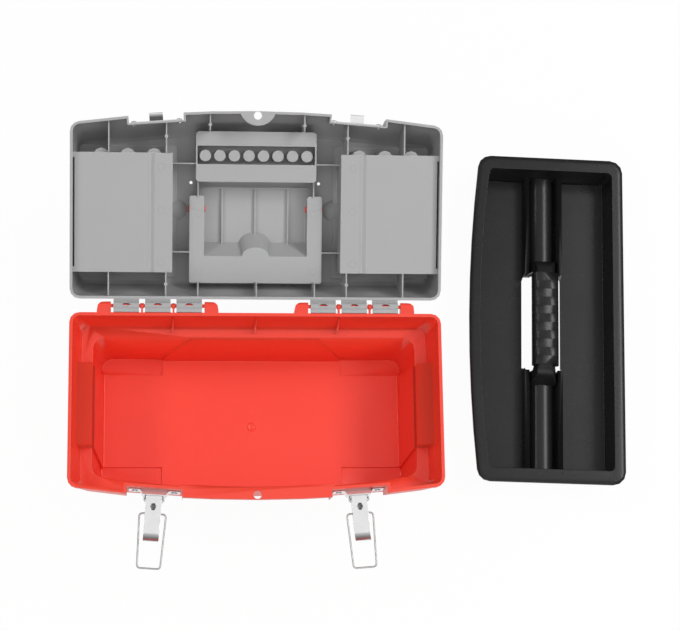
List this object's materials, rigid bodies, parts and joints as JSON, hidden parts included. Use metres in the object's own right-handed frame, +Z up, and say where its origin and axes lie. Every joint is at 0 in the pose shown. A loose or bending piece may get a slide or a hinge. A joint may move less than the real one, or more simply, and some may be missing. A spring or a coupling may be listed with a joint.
{
  "type": "toolbox with lift-out tray",
  "caption": "Plastic toolbox, open, with a lift-out tray beside it, organiser wells in the lid and two metal draw latches.",
  "frame": {"origin": "the standing plane under the middle of the base, 2 mm below the raised floor's underside", "axes": "+Z up, -Y out of the latched front, +Y to the hinges, +X along the box to the side where the tray lies"},
  "size_m": [0.6437, 0.499, 0.1979],
  "materials": {
    "red_plastic": "moulded, soft sheen",
    "grey_plastic": "moulded, soft sheen",
    "black_plastic": "moulded, soft sheen",
    "nickel_steel": "bright plated sheet and wire"
  },
  "bodies": {
    "base": {"base_shell": "red_plastic", "latch_bracket_left": "nickel_steel", "latch_pivot_pin_left": "nickel_steel", "bracket_rivet_left_a": "nickel_steel", "bracket_rivet_left_b": "nickel_steel", "latch_bracket_right": "nickel_steel", "latch_pivot_pin_right": "nickel_steel", "bracket_rivet_right_a": "nickel_steel", "bracket_rivet_right_b": "nickel_steel"},
    "lid": {"lid_shell": "grey_plastic", "strike_plate_left": "nickel_steel", "strike_rivet_left_a": "nickel_steel", "strike_rivet_left_b": "nickel_steel", "strike_plate_right": "nickel_steel", "strike_rivet_right_a": "nickel_steel", "strike_rivet_right_b": "nickel_steel"},
    "handle": {"carry_handle": "red_plastic"},
    "cover_left": {"organiser_cover_left": "grey_plastic"},
    "cover_right": {"organiser_cover_right": "grey_plastic"},
    "lever_left": {"latch_lever_left": "nickel_steel"},
    "bail_left": {"latch_bail_left": "nickel_steel"},
    "lever_right": {"latch_lever_right": "nickel_steel"},
    "bail_right": {"latch_bail_right": "nickel_steel"},
    "tray": {"tray": "black_plastic"}
  },
  "joints": [
    {"name": "lid_hinge", "type": "hinge", "parent": "base", "child": "lid", "pos_m": [0, 0.1045, 0.132], "axis": [1, 0, 0], "range_deg": [0, 162]},
    {"name": "handle_pivot", "type": "hinge", "parent": "lid", "child": "handle", "pos_m": [0, 0.22036, 0.11812], "axis": [1, 0, 0], "range_deg": [0, 90]},
    {"name": "cover_hinge_left", "type": "hinge", "parent": "lid", "child": "cover_left", "pos_m": [-0.1911, 0.22072, 0.1052], "axis": [0, 0.9511, 0.309], "range_deg": [0, 95]},
    {"name": "cover_hinge_right", "type": "hinge", "parent": "lid", "child": "cover_right", "pos_m": [0.1911, 0.22072, 0.1052], "axis": [0, -0.9511, -0.309], "range_deg": [0, 95]},
    {"name": "latch_lever_left", "type": "hinge", "parent": "base", "child": "lever_left", "pos_m": [-0.11172, -0.10717, 0.112], "axis": [0.9973, -0.0738, 0], "range_deg": [0, 90]},
    {"name": "latch_bail_left", "type": "hinge", "parent": "lever_left", "child": "bail_left", "pos_m": [-0.11287, -0.12263, 0.1106], "axis": [0.9973, -0.0738, 0], "range_deg": [-180, 0]},
    {"name": "latch_lever_right", "type": "hinge", "parent": "base", "child": "lever_right", "pos_m": [0.11172, -0.10717, 0.112], "axis": [0.9973, 0.0738, 0], "range_deg": [0, 90]},
    {"name": "latch_bail_right", "type": "hinge", "parent": "lever_right", "child": "bail_right", "pos_m": [0.11287, -0.12263, 0.1106], "axis": [0.9973, 0.0738, 0], "range_deg": [-180, 0]},
    {"name": "tray_lift", "type": "slide", "parent": "base", "child": "tray", "axis": [0, 0, 1], "range_m": [0, 0.15]}
  ],
  "couplings": [
    {"joint": "latch_bail_left", "follows": "latch_lever_left", "ratio": -2},
    {"joint": "latch_bail_right", "follows": "latch_lever_right", "ratio": -2}
  ]
}
